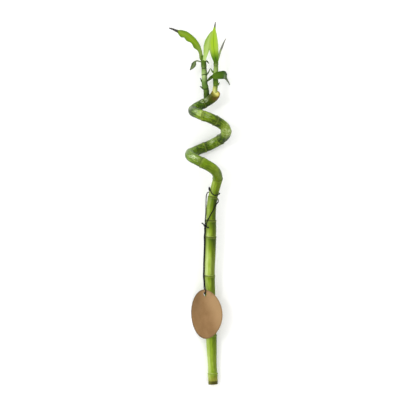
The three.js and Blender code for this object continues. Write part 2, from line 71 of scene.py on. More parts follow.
# Its joints: length from the cut foot, and how pale the skin is above the joint, halfway to the
# next one and below that one, from 0 for dark olive to 1 for the palest green
JOINTS = [
    [12, 0.65, 0.61, 0.45],
    [55, 0.6, 0.6, 0.45],
    [87, 0.62, 0.62, 0.5],
    [121.5, 0.78, 0.7, 0.28],
    [165, 0.72, 0.47, 0.34],
    [183.5, 0.46, 0.45, 0.24],
    [209, 0.54, 0.56, 0.58],
    [232, 0.5, 0.54, 0.41],
    [266, 0.32, 0.46, 0.44],
    [297, 0.64, 0.28, 0.42],
    [320, 0.28, 0.58, 0.5],
    [341, 0.36, 0.22, 0.78],
    [361, 0.95, 0.82, 0.16],
    [389, 0.32, 0.4, 0.44],
    [403, 0.6, 0.2, 0.22],
    [428, 0.42, 0.36, 0.2],
    [448, 0.2, 0.2, 0.18],
]
NODES = np.array([joint[0] for joint in JOINTS], float)
# How close to a joint the skin has its full tone, and the tones of the foot below the first one
TONE_EDGE = 0.4
FOOT_TONES = [[0, 0.45], [6, 0.56], [12, 0.62]]
# Where the coil's skin is a cooler green, from 0 to 1
COOL_GREEN = [
    [268, 0], [280, 0.6], [298, 1], [306, 0.4], [405, 0], [414, 0.8], [440, 1], [455, 0.4],
]
# Where a painted highlight shows on the coil's crest, from 0 to 1
PAINTED_GLINTS = [
    [268, 0], [271, 0.6], [274, 1], [279, 1], [283, 0.4], [288, 0.1], [291, 0.1], [301, 0.5],
    [310, 0], [326, 0], [332, 0.6], [338, 0.1], [355, 0.1], [365, 0.3], [375, 0], [392, 0],
    [397, 0.3], [402, 0], [405, 0.3], [411, 0.5], [416, 0], [431, 0], [437, 0.9], [450, 0.6],
    [458, 0.1],
]
# The coil, turned left-handed about X = 0, with its angles from +X towards +Z
COIL_PITCH = 49.2
COIL_FROM = 75
COIL_TO = 678
COIL_STEP = 15
LEFT_TURN_ANGLE = 180
LEFT_TURN_Y = 255.3
COIL_RADII = [
    [75, 15.4], [105, 18.4], [150, 20.4], [180, 21.4], [270, 21.5], [315, 20.6], [360, 18.8],
    [405, 19.3], [450, 20.2], [540, 17.6], [600, 15.6], [640, 13.4], [678, 9.6],
]
# How far the hand-bent turns stray along Y from an even pitch
COIL_STRAY = [
    [75, -1], [105, 0.2], [135, 0.8], [180, 0], [225, -1.7], [270, -1.5], [315, 0.6], [360, 2],
    [405, 3], [450, 3.9], [495, 3], [540, 0], [600, -1], [678, 0],
]
STRAIGHT_POINTS = [
    [4.4, 0, 0.36], [3.8, 14, 0.3], [2.6, 48, 0], [1.6, 78, 0], [0.9, 105, 0], [0.6, 130, 0],
    [1.4, 150, 0], [1.8, 172, 0], [2.1, 190, 0], [2.7, 200, -0.8], [4.6, 211, -2.4],
    [7.2, 220.5, -2.8], [9.4, 229, 0.4], [8, 235.4, 7.6],
]
# The run below the coils, which the tie and the tag are placed from
STRAIGHT_TO = 224
CANE_SIDES = 44
RING_SPACING = 1.0
NODE_RING_SPACING = 0.25
LEAST_RING_SPACING = 0.175
NODE_REACH = 3
# A joint's ring: height, place past the joint and length of its lip, its swelling and its groove
JOINT_RING = [(0.36, 0, 0.55), (0.26, -1.3, 1.7), (-0.16, 1.4, 0.7)]
# The rings of a cut face as shares of the radius, each with how far it has the cut's colours, and
# how far in the skin starts from the cut
CUT_RINGS = [(0.05, 1.0), (0.3, 1.0), (0.55, 1.0), (0.78, 1.0), (0.93, 1.0), (0.975, 0.85)]
CUT_BEVEL = 0.25
# Lumps that keep the cane from being quite round: how close they lie round it and along it
LUMPS_ROUND = 0.8
LUMPS_ALONG = 0.05
LUMP_HEIGHT = 0.13
# Where the coil's skin begins, over what length, and how high a full turn swings from the axis
COILED_FROM = 200
COILED_OVER = 45
COIL_SWING = 20
# How strongly the coil is mottled, by length from the foot
MOTTLE_STARTS = ([262, 290], [0.35, 1])
# Small buds: which joint, and the angle round the cane in radians
BUDS = [(3, 1.9), (5, -0.6), (8, 2.6), (10, 0.2), (12, 2.2), (14, 1.0), (16, 2.9)]
BUD_ABOVE = 1.3
BUD_HALF_WIDTH = 1.1
BUD_HALF_LENGTH = 1.0
BUD_HEIGHT = 0.5
BUD_GIRTH = 5.6
CROWN_RADIUS = 5.2

# Leaves
# Per blade: half waves up and down at its edges, and scallops along its left edge
EDGE_WAVES = 9
EDGE_SCALLOPS = 4.87
BLADE_THICKNESS = 0.7
BLADE_ROWS = 72
BLADE_COLUMNS = 18
# Points that move by less than this share don't count when a piece is let down
LEAST_SHARE = 0.05
SCALE_ROWS = 24
SCALE_COLUMNS = 8
# Weights that smooth a blade's outline
OUTLINE_WEIGHTS = np.array([1, 2, 3, 2, 1]) / 9
# How round the fold is along the midrib
FOLD_ROUNDING = 0.012
FOLD_DROP = 0.11
# A blade thins over its last stretch, down to a least share, and towards its edges.
TIP_TAPER = 0.15
TIP_LEAST = 0.35
EDGE_THINNING = 0.55
# How far the pattern of a blade's underside lies from that of its face
UNDERSIDE_SHIFT = 7.0

# Shoot stems
STEM_SIDES = 32
STEM_RINGS = 150
SHEATH_SLANT = 0.03

# Tag
TAG_WIDTH = 44
TAG_LENGTH = 55
TAG_THICKNESS = 0.7
TAG_Y = 78.4
TAG_TURN = 2.4
# Its lean up to its seat on the cane, and the lean that it bends to at its right edge
TAG_LEAN = 46
TAG_FLAT_END = 3
# Its seat across it, how far its lower end is from the cane's middle, and its top beyond that
TAG_SEAT = 1
TAG_REACH = 6.4
TAG_LIFT = 2.4
TAG_HOLE_RADIUS = 2.4
TAG_HOLE_INSET = 5
TAG_SPOKES = 180
TAG_RINGS = 36
# Its face from the hole to the rim as shares, with rings that widen outwards, and its rounded rim
TAG_FACE = (0.012, 0.992)
TAG_RING_GROWTH = 1.2
TAG_RIM_LEVEL = 0.55
TAG_SHARP_ANGLE = 40

# String
STRING_RADIUS = 0.6
STRING_SIDES = 18
STRING_RING = 0.22
STRING_PLIES = 3
# How deep the plies' valleys are, as a share of the radius
STRING_PLY_DEPTH = 0.24
STRING_TURN_LENGTH = 3.4
STRING_FIRST_NORMAL = (0.3, 0.2, 1)
KNOT_PLACE = [176.8, 140, 8.3]
# Both tails, measured from the knot
TAILS = [
    [[0, 0, 0], [-1.3, 1.3, 0.6], [-2.6, 2.4, 0], [-3.6, 3, -1.2]],
    [[0, 0, 0], [1.3, -1, 1], [2.9, -1.7, 1.4], [4.3, -1.9, 1.5]],
]
TAIL_STEPS = 9
PLY_RADIUS = 0.34
# How far a tail's plies turn about each other, in radians, and part from its middle
TAIL_TWIST = 2.2
PLY_SPREAD = (0.36, 0.62)
KNOT_STEPS = 42
# How far the trefoil's small waves swing across, along and up
KNOT_SCALE = (0.45, 0.58, 1.0)
# How far the loop's two ends run on into the knot
LOOP_REACH = 1.3

# The free loop's route, from the knot over the tag's edge, down through its hole and back
LOOP = [
    [-4.1, 173.4, 24], [-4, 170, 23.2], [-4.6, 165, 22.4], [-4.6, 158, 21.3], [-4.9, 150, 20.2],
    [-5.2, 142, 19.5], [-5.5, 134, 18.9], [-5.5, 127, 18.5], [-5.7, 121, 18.6], [-5, 115, 19.3],
    [-4.6, 110, 20.7], [-4.2, 106.6, 21.7], [-4.1, 103.6, 22], [-4.17, 102.1, 21.6],
    [-4.38, 101, 20.5], [-4.65, 100.6, 19.05], [-4.92, 101, 17.6], [-5.13, 102.1, 16.5],
    [-5.2, 103.6, 16.1], [-5.5, 106.5, 15.9], [-5.7, 110, 15.8], [-5.9, 115, 15.9],
    [-6.4, 121, 16.3], [-6.2, 128, 16.5], [-6.1, 136, 17], [-5.8, 144, 17.7], [-5.5, 152, 18.5],
    [-5.4, 159, 19.3], [-5.5, 165, 20.4], [-5, 170, 21.3], [-5.2, 173.4, 22.4],
]

# The tie's two turns round the cane: place along Y, angle round the cane, distance out
TIE = [
    [178, 144, 7], [180.7, 133, 6.75], [184, 118, 7], [187, 104, 6.6], [190, 90, 6.45],
    [193.7, 71, 6.4], [198, 50, 6.4], [200.8, 36, 6.5], [203, 10, 6.8], [206, -28, 7.2],
    [209.5, -65, 7.8], [212.8, -100, 8.1], [216, -135, 8.1], [219, -165, 7.3], [219.6, -188, 6.9],
    [217.4, -215, 6.7], [213.9, -243, 6.7], [211.7, -264, 6.8], [210.7, -287, 6.9],
    [211, -314, 6.8], [212.3, -345, 6.7], [213, -380, 6.6], [213.5, -420, 6.6], [214, -460, 6.6],
    [214.3, -500, 6.8], [213.4, -526, 7.3], [210, -538, 7.5], [205, -545, 6.9], [198, -557, 6.4],
    [191, -562, 6.35], [186, -564, 6.75], [182.5, -565, 7], [178.6, -569, 7.1],
]


def spline(points):
    """A dense centripetal Catmull-Rom curve through the points."""
    given = np.array(points, float)
    ends = np.vstack([2 * given[0] - given[1], given, 2 * given[-1] - given[-2]])
    weights = np.linspace(0, 1, SPAN_POINTS, endpoint=False)[:, None]
    pieces = []
    for i in range(len(given) - 1):
        p0, p1, p2, p3 = ends[i : i + 4]
        d0, d1, d2 = (math.sqrt(np.linalg.norm(b - a)) for a, b in ((p0, p1), (p1, p2), (p2, p3)))
        m1 = ((p1 - p0) / d0 - (p2 - p0) / (d0 + d1) + (p2 - p1) / d1) * d1
        m2 = ((p2 - p1) / d1 - (p3 - p1) / (d1 + d2) + (p3 - p2) / d2) * d1
        a2 = 3 * (p2 - p1) - 2 * m1 - m2
        a3 = 2 * (p1 - p2) + m1 + m2
        pieces.append(p1 + m1 * weights + a2 * weights**2 + a3 * weights**3)
    pieces.append(given[-1:])
    return np.vstack(pieces)


class Route:
    """A smooth curve that is read by its length."""

    def __init__(self, points):
        self.dense = spline(points)
        steps = np.linalg.norm(np.diff(self.dense, axis=0), axis=1)
        self.lengths = np.concatenate([[0], np.cumsum(steps)])
        self.length = self.lengths[-1]

    def at(self, lengths):
        return np.stack([np.interp(lengths, self.lengths, self.dense[:, k]) for k in range(3)], -1)

    def tangents(self, lengths):
        reach = self.length * TANGENT_SHARE
        ahead = self.at(np.minimum(lengths + reach, self.length))
        behind = self.at(np.maximum(lengths - reach, 0))
        return unit(ahead - behind)

    def frames(self, lengths, first=(0, 0, 1)):
        """Normals that don't turn about the curve, and the sides square to them."""
        along = self.tangents(lengths)
        normal = np.array(first, float)
        normals = []
        for tangent in along:
            normal = normal - normal.dot(tangent) * tangent
            normal = normal / np.linalg.norm(normal)
            normals.append(normal)
        normals = np.array(normals)
        return normals, np.cross(along, normals)


def unit(vectors):
    return vectors / np.linalg.norm(vectors, axis=-1, keepdims=True)


def lookup(pairs, places):
    table = np.array(pairs, float)
    return np.interp(places, table[:, 0], table[:, 1])


def cane_points():
    points = list(STRAIGHT_POINTS)
    for angle in range(COIL_FROM, COIL_TO + COIL_STEP, COIL_STEP):
        turn = min(angle, COIL_TO)
        radius = lookup(COIL_RADII, turn)
        y = LEFT_TURN_Y + (turn - LEFT_TURN_ANGLE) / 360 * COIL_PITCH
        y += lookup(COIL_STRAY, turn)
        turn = math.radians(turn)
        points.append([radius * math.cos(turn), y, radius * math.sin(turn)])
    return [[x, y, z + AXIS_START + AXIS_SLOPE * y] for x, y, z in points]


cane_route = Route(cane_points())
loop_route = Route(LOOP)

# The stalk's own axes are set to the frame's by the loop, which has the same box in both.
loop_low, loop_high = (np.array(corner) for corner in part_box("string_loop"))
loop_middle = (loop_route.dense.min(0) + loop_route.dense.max(0)) / 2
SHIFT = (loop_low + loop_high) / 2 - loop_middle * MM
SHIFT[2] = 0


def to_row(points):
    return np.asarray(points, float) * MM + SHIFT


def placed(thing):
    """A new object in the scene."""
    bpy.context.scene.collection.objects.link(thing)
    return thing


camera = placed(bpy.data.objects.new("camera", bpy.data.cameras.new("camera")))
camera.location = CAMERA_PLACE
camera.data.lens = CAMERA_LENS
camera.data.clip_end = CAMERA_REACH
bpy.context.scene.camera = camera


# Directions that the skin's colours follow. Back is towards the leaf tips, front towards the foot.
LEANINGS = {
    "left_back": np.array([-0.707, 0.707, 0.0]),
    "crest": np.array([-0.3, 0.35, 0.887]),
    "up": np.array([0.0, 0.0, 1.0]),
}
LEFT_FRONT = np.array([-0.707, -0.707, 0.0])


def new_piece(name, node, slot, vertices, faces, fields, leanings=(), sharp=SHARP_ANGLE):
    """A smooth mesh in the row frame, with named numbers for its vertices, for a CAD node."""
    mesh = bpy.data.meshes.new(name)
    mesh.from_pydata(to_row(vertices).tolist(), [], faces)
    mesh.validate()
    normals = np.empty(len(mesh.vertices) * 3, np.float32)
    mesh.vertices.foreach_get("normal", normals)
    normals = normals.reshape(-1, 3)
    leaning = {field: normals @ LEANINGS[field] for field in leanings}
    for field, values in {**fields, **leaning}.items():
        values = np.asarray(values, np.float32)
        kind, key = ("FLOAT", "value") if values.ndim == 1 else ("FLOAT_VECTOR", "vector")
        mesh.attributes.new(field, kind, "POINT").data.foreach_set(key, values.ravel())
    mesh.polygons.foreach_set("use_smooth", [True] * len(mesh.polygons))
    mesh.set_sharp_from_angle(angle=math.radians(sharp))
    piece = placed(bpy.data.objects.new(name, mesh))
    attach(piece, "root")
    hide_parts(node)
    return piece


def steps_round(count):
    return np.linspace(0, 2 * math.pi, count, endpoint=False)


def around(values, count):
    """One number for each ring, repeated round it."""
    return np.repeat(values[:, None], count, 1)


def polar(radius, angles):
    return radius * np.cos(angles), radius * np.sin(angles)


def laid_out(centres, first, second, a, b):
    """Points beside each centre: a along its first direction and b along its second."""
    first, second = first[:, None, :], second[:, None, :]
    return centres[:, None, :] + a[..., None] * first + b[..., None] * second


def tube_faces(rings, sides):
    faces = []
    for low in range(0, (rings - 1) * sides, sides):
        for j in range(sides):
            k = (j + 1) % sides
            faces.append((low + j, low + k, low + sides + k, low + sides + j))
    faces.append(tuple(reversed(range(sides))))
    faces.append(tuple(range((rings - 1) * sides, rings * sides)))
    return faces


def joined(parts):
    """Several meshes as one: vertices, faces and the fields that they all have."""
    vertices = []
    faces = []
    count = 0
    for part_vertices, part_faces, _ in parts:
        vertices.append(part_vertices)
        faces += [tuple(count + corner for corner in face) for face in part_faces]
        count += len(part_vertices)
    given = [fields for _, _, fields in parts]
    shared = [name for name in given[0] if all(name in fields for fields in given)]
    stacked = {name: np.concatenate([fields[name] for fields in given]) for name in shared}
    return np.vstack(vertices), faces, stacked


def rest(vertices, weights):
    """Lets points down, each by its weight, until the lowest of them touch the surface."""
    held = weights > LEAST_SHARE
    vertices[:, 2] += (-vertices[held, 2] / weights[held]).max() * weights


# String
def twisted(points, radius=STRING_RADIUS):
    """Three-ply string along a route: its section has three lobes that turn along it."""
    route = Route(points)
    count = int(route.length / STRING_RING)
    lengths = np.linspace(0, route.length, count)
    normals, sides = route.frames(lengths, first=STRING_FIRST_NORMAL)
    angles = steps_round(STRING_SIDES)
    turn = 2 * math.pi * lengths[:, None] / STRING_TURN_LENGTH
    lobes = np.abs(np.cos(STRING_PLIES / 2 * (angles[None, :] - turn)))
    out = radius * (1 - STRING_PLY_DEPTH + STRING_PLY_DEPTH * lobes)
    ring = laid_out(route.at(lengths), normals, sides, *polar(out, angles))
    skin = [*polar(out, angles - turn), around(lengths, STRING_SIDES)]
    fields = {"skin": np.stack(skin, -1).reshape(-1, 3), "valley": (1 - lobes).ravel()}
    return ring.reshape(-1, 3), tube_faces(count, STRING_SIDES), fields


def frayed(points):
    """A cut tail: its plies run side by side from the knot and part towards the end."""
    route = Route(points)
    shares = np.linspace(0, 1, TAIL_STEPS)
    lengths = shares * route.length
    normals, sides = route.frames(lengths)
    close, parted = PLY_SPREAD
    spread = close + (parted - close) * shares**2
    plies = []
    for ply in range(STRING_PLIES):
        turn = 2 * math.pi * ply / STRING_PLIES + TAIL_TWIST * shares
        a, b = polar(spread, turn)
        offset = a[:, None] * normals + b[:, None] * sides
        plies.append(twisted(route.at(lengths) + offset, PLY_RADIUS))
    return plies


def reaching(points, reach):
    """The same route with both its ends run on straight."""
    given = np.array(points, float)
    first = given[0] + reach * unit(given[0] - given[1])
    last = given[-1] + reach * unit(given[-1] - given[-2])
    return np.vstack([first, given, last])


loop_strand = reaching(LOOP, LOOP_REACH)
loop = new_piece("string_loop_twist", "string_loop", "black_string", *twisted(loop_strand))


straight = cane_route.dense[cane_route.dense[:, 1] < STRAIGHT_TO]


def centre_at(y):
    return [np.interp(y, straight[:, 1], straight[:, k]) for k in (0, 2)]


def beside_cane(y, angle, distance):
    x, z = centre_at(y)
    turn = math.radians(angle)
    return [x + distance * math.cos(turn), y, z + distance * math.sin(turn)]


def string_tie():
    knot_place = np.array(beside_cane(*KNOT_PLACE))
    turn = np.linspace(0, 2 * math.pi, KNOT_STEPS + 1)
    across = np.sin(turn) + 2 * np.sin(2 * turn)
    along = np.cos(turn) - 2 * np.cos(2 * turn)
    trefoil = np.stack([across, along, -np.sin(3 * turn)], -1)
    strands = [
        twisted([beside_cane(*place) for place in TIE]),
        twisted(knot_place + trefoil * np.array(KNOT_SCALE)),
    ]
    for tail in TAILS:
        strands += frayed(knot_place + np.array(tail))
    return joined(strands)


tie = new_piece("string_tie_twist", "string_tie", "black_string", *string_tie())


# Cane
def bud_bumps(places, angles):
    """How near each point of the skin is to a bud, from 0 to 1."""
    bumps = np.zeros((len(places), len(angles)))
    for joint, turn in BUDS:
        round_it = np.angle(np.exp(1j * (angles - turn))) * BUD_GIRTH / BUD_HALF_WIDTH
        above = (places - NODES[joint] - BUD_ABOVE) / BUD_HALF_LENGTH
        bumps = np.maximum(bumps, np.exp(-(round_it[None, :] ** 2) - above[:, None] ** 2))
    return bumps


def skin_tones(places):
    """How pale the skin is at each length from the foot."""
    pairs = list(FOOT_TONES)
    ends = [joint[0] for joint in JOINTS[1:]] + [cane_route.length]
    for (start, above, middle, below), end in zip(JOINTS, ends):
        pairs += [[start + TONE_EDGE, above], [(start + end) / 2, middle], [end - TONE_EDGE, below]]
    return lookup(pairs, places)


def cane_rings():
    spaced = np.arange(0, cane_route.length, RING_SPACING)
    near = np.arange(-NODE_REACH, NODE_REACH, NODE_RING_SPACING)
    places = np.concatenate([spaced, *(node + near for node in NODES), [cane_route.length]])
    places = np.unique(np.round(places, 3))
    places = places[(places >= 0) & (places <= cane_route.length)]
    kept = [places[0]]
    for place in places[1:]:
        if place - kept[-1] >= LEAST_RING_SPACING:
            kept.append(place)
    kept[-1] = cane_route.length
    return np.array(kept)


def cane_piece():
    # Sections: length from the foot, share of the full radius, and how far it belongs to the cut
    starts = [(0.0, *ring) for ring in CUT_RINGS]
    ends = [(cane_route.length, *ring) for ring in reversed(CUT_RINGS)]
    sections = starts + [(place, 1.0, 0.0) for place in cane_rings()] + ends
    places, shares, cut = np.array(sections).T.copy()
    places[len(starts)] = CUT_BEVEL
    places[-len(ends) - 1] = cane_route.length - CUT_BEVEL
    normals, sides = cane_route.frames(places)
    centres = cane_route.at(places)
    angles = steps_round(CANE_SIDES)
    offset = places[:, None] - NODES[None, :]
    nearest = np.abs(offset).argmin(1)
    distance = offset[np.arange(len(places)), nearest]
    ring = lookup(CANE_RADII, places)
    for rise, past, length in JOINT_RING:
        ring = ring + rise * np.exp(-(((distance - past) / length) ** 2))
    radius = around(ring, CANE_SIDES)
    # Small lumps, and buds at some of its joints
    for i, place in enumerate(places):
        for j, angle in enumerate(angles):
            x, y = math.cos(angle) * LUMPS_ROUND, math.sin(angle) * LUMPS_ROUND
            radius[i, j] += LUMP_HEIGHT * noise.noise(Vector((x, y, place * LUMPS_ALONG)))
    buds = bud_bumps(places, angles)
    radius += BUD_HEIGHT * buds
    radius *= shares[:, None]
    vertices = laid_out(centres, normals, sides, *polar(radius, angles))
    vertices[..., 2] = np.maximum(vertices[..., 2], 0)
    outward = vertices - centres[:, None, :]
    coiled = np.clip((places - COILED_FROM) / COILED_OVER, 0, 1)
    axis = AXIS_START + AXIS_SLOPE * centres[:, 1]
    by_ring = {
        "tone": skin_tones(places),
        "cool": lookup(COOL_GREEN, places),
        "joint": distance,
        "coiled": coiled,
        "mottled": coiled * np.interp(places, *MOTTLE_STARTS),
        "bloom": lookup(PAINTED_GLINTS, places),
        "height": np.clip((centres[:, 2] - axis) / COIL_SWING, -1, 1) * coiled,
        "cut": cut,
        "share": shares,
        "place": places,
    }
    skin = [*polar(radius, angles), around(places, CANE_SIDES)]
    fields = {name: around(values, CANE_SIDES).ravel() for name, values in by_ring.items()}
    fields["skin"] = np.stack(skin, -1).reshape(-1, 3)
    fields["bud"] = buds.ravel()
    fields["left_front"] = (outward @ LEFT_FRONT).ravel() / CROWN_RADIUS
    mesh = (vertices.reshape(-1, 3), tube_faces(len(places), CANE_SIDES), fields)
    return new_piece("cane_skin", "cane", "cane_green", *mesh, tuple(LEANINGS))


cane = cane_piece()


# Leaves
def sheet_faces(rows, columns, under):
    def at(row, column):
        return row * (columns + 1) + column

    def wall(a, b):
        return (b, a, under + a, under + b)

    faces = []
    for i in range(rows):
        for j in range(columns):
            a, b, c, d = at(i, j), at(i, j + 1), at(i + 1, j + 1), at(i + 1, j)
            faces += [(a, b, c, d), (under + a, under + d, under + c, under + b)]
        faces += [wall(at(i + 1, 0), at(i, 0)), wall(at(i, columns), at(i + 1, columns))]
    for j in range(columns):
        faces += [wall(at(0, j), at(0, j + 1)), wall(at(rows, j + 1), at(rows, j))]
    return faces


def blade(leaf):
    """A leaf blade on its midrib: both halves rise by the fold, and its edges wave."""
    rows = leaf.get("rows", BLADE_ROWS)
    columns = leaf.get("columns", BLADE_COLUMNS)
    route = Route(leaf["midrib"])
    shares = np.linspace(0, 1, rows + 1)
    lengths = shares * route.length
    centres = route.at(lengths)
    along = route.tangents(lengths)
    facing = np.array(leaf.get("facing", (0, 0, 1)), float)
    normals = unit(facing - (along @ facing)[:, None] * along)
    sides = np.cross(along, normals)
    widths = lookup(leaf["widths"], shares)
    padded = np.concatenate([[widths[0]] * 2, widths, [widths[-1]] * 2])
    widths = np.convolve(padded, OUTLINE_WEIGHTS, mode="valid")
    across = np.linspace(-1, 1, columns + 1)[None, :]
    t = shares[:, None]
    scallop = leaf.get("scallops", 0) * np.sin(2 * math.pi * EDGE_SCALLOPS * t)
    reach = across * (1 + scallop * np.maximum(0, -across))
    ripple = leaf.get("waves", 0) * across**2 * np.sin(EDGE_WAVES * t * math.pi + across)
    rise = leaf["fold"] * (np.sqrt(across**2 + FOLD_ROUNDING) - FOLD_DROP)
    half = widths[:, None]
    surface = laid_out(centres, sides, normals, reach * half, half * (rise + ripple))
    taper = np.clip((1 - t) / TIP_TAPER, TIP_LEAST, 1)
    thick = BLADE_THICKNESS / 2 * (1 - EDGE_THINNING * np.abs(across) ** 3) * taper
    top = surface + thick[..., None] * normals[:, None, :]
    bottom = surface - thick[..., None] * normals[:, None, :]
    vertices = np.concatenate([top.reshape(-1, 3), bottom.reshape(-1, 3)])
    if leaf.get("rests"):
        rest(vertices, np.tile(np.repeat(shares**2, columns + 1), 2))
    # The number of points on a leaf's midrib sets the depth its pattern is read at.
    depth = np.full((rows + 1) * (columns + 1), float(len(leaf["midrib"])))
    flat = np.stack([(across * half).ravel(), np.repeat(lengths, columns + 1), depth], -1)
    fields = {
        "along": np.tile(np.repeat(shares, columns + 1), 2),
        "across": np.tile(across[0], 2 * (rows + 1)),
        "flat": np.concatenate([flat, flat + np.array([0, 0, UNDERSIDE_SHIFT])]),
    }
    return vertices, sheet_faces(rows, columns, len(depth)), fields


def scale_leaf(midrib, half_width):
    return {
        "midrib": midrib,
        "widths": [[0, half_width], [0.5, half_width], [1, 0.4]],
        "fold": 0.3,
        "rows": SCALE_ROWS,
        "columns": SCALE_COLUMNS,
    }


LEAVES = {
    "left_leaf_arching": {
        "midrib": [
            [-8, 361, 22], [-9.2, 367.4, 22.8], [-11.2, 373, 24.2], [-13.8, 377.2, 25.2],
            [-17.2, 381.4, 24.8], [-21.2, 385.4, 22.8], [-25.4, 388.6, 18.8], [-29.8, 390.8, 13.6],
            [-33.4, 392.7, 9.2], [-36.6, 394.4, 5.6], [-40.4, 396.2, 2.4], [-44.8, 397.6, 0.9],
        ],
        "widths": [
            [0, 2], [0.1, 1.9], [0.18, 2.5], [0.26, 3.5], [0.46, 4.1], [0.58, 4.1], [0.66, 3.8],
            [0.72, 3.1], [0.79, 1.7], [0.86, 1.15], [0.95, 0.95], [1, 0.5],
        ],
        "facing": [-0.2, -0.1, 1], "fold": 0.32, "waves": 0.14, "scallops": 0.18, "rests": True,
        "rows": 140,
    },
    "left_leaf_bent": {
        "midrib": [
            [-7.6, 358.4, 22], [-10, 359, 23.2], [-12, 359.6, 24], [-14, 359.8, 24],
            [-15.4, 358.8, 23], [-16.6, 356.4, 21.2], [-18.4, 353.4, 18.8], [-21.2, 350, 15.6],
        ],
        "widths": [[0, 0.6], [0.36, 0.7], [0.46, 2], [0.6, 2.8], [0.8, 1.8], [1, 0.4]],
        "facing": [-0.1, 0.2, 1], "fold": 0.25,
    },
    "left_leaf_upright": {
        "midrib": [
            [-5.6, 360, 24], [-4.2, 366.5, 24.9], [-2.7, 374, 25.4], [-1.2, 381, 25.8],
            [0.5, 387, 25.6], [2.9, 392.8, 24.8],
        ],
        "widths": [[0, 1.6], [0.2, 2.3], [0.45, 3.8], [0.65, 3.6], [0.85, 1.8], [1, 0.45]],
        "fold": 0.3, "waves": 0.06,
    },
    "right_leaf_broad": {
        "midrib": [
            [7.3, 359, 28.4], [6.3, 366, 29.6], [5.1, 374, 30.8], [4.8, 381.5, 31.6],
            [5.1, 388, 31.8], [5.7, 394, 31.4], [6.4, 398.6, 30.8], [6.8, 402.8, 30],
        ],
        "widths": [
            [0, 2.4], [0.08, 3.4], [0.16, 4.3], [0.28, 4.9], [0.4, 5.1], [0.54, 4.7], [0.68, 3.4],
            [0.79, 1.7], [0.88, 0.9], [1, 0.45],
        ],
        "fold": 0.34, "waves": 0.05,
    },
    "right_leaf_narrow": {
        "midrib": [
            [8.2, 356, 26.6], [10.2, 363, 26], [12.2, 370.5, 26], [14.8, 377, 26],
            [16.6, 381.2, 25.4], [18.7, 384.8, 24.2],
        ],
        "widths": [[0, 1.2], [0.3, 1.7], [0.65, 1.9], [0.85, 1.1], [1, 0.4]],
        "facing": [0.85, -0.3, 0.5], "fold": 0.15,
    },
    "right_leaf_folded": {
        "midrib": [
            [3.8, 342, 27], [7.2, 343, 29], [10.6, 343.6, 28.8], [13.6, 344, 27.6], [16, 344.2, 25],
            [17.2, 343.6, 21], [17.8, 342.4, 16.6], [18.8, 340.6, 12], [20.2, 338.6, 7.6],
            [21.8, 336.4, 3.6], [23, 334, 1],
        ],
        "widths": [
            [0, 1.8], [0.08, 3.4], [0.18, 4.3], [0.32, 4.6], [0.42, 4], [0.55, 2.5], [0.68, 1.3],
            [0.85, 0.8], [1, 0.45],
        ],
        "facing": [0.3, 0, 1], "fold": 0.22, "waves": 0.06, "rests": True,
    },
    "right_leaf_low": {
        "midrib": [
            [6.4, 343.6, 24], [3.4, 342.2, 24.8], [1.2, 340.4, 25.2], [-1, 338.4, 24.8],
            [-2.6, 336.4, 23.6],
        ],
        "widths": [[0, 1.2], [0.3, 1.9], [0.6, 1.6], [1, 0.4]],
        "fold": 0.25,
    },
}

DRY_TIP = "#3a3832"
# Per leaf: its material slot, its middle, its edge, its base and midrib, its tip, and where along
# it the tip starts
LEAF_LOOKS = {
    "left_leaf_arching": ("leaf_mid", "#76930a", "#587810", "#7c9048", DRY_TIP, 0.74),
    "left_leaf_bent": ("leaf_dark", "#6a7d4c", "#364424", "#606e40", "#24261a", 0.85),
    "left_leaf_upright": ("leaf_pale", "#b2cb6c", "#8aab48", "#b0cb7a", "#64803a", 0.93),
    "right_leaf_broad": ("leaf_young", "#9abc22", "#98b24c", "#447002", DRY_TIP, 0.8),
    "right_leaf_narrow": ("leaf_dark", "#8a9a62", "#6c7a4a", "#7c9244", "#74746a", 0.5),
    "right_leaf_folded": ("leaf_dark", "#3a590a", "#223f06", "#4c6b12", "#565e4a", 0.62),
    "right_leaf_low": ("leaf_dark", "#3a5014", "#284008", "#465c14", "#1f2412", 0.8),
}

leaf_pieces = {
    name: new_piece(name + "_blade", name, LEAF_LOOKS[name][0], *blade(leaf))
    for name, leaf in LEAVES.items()
}

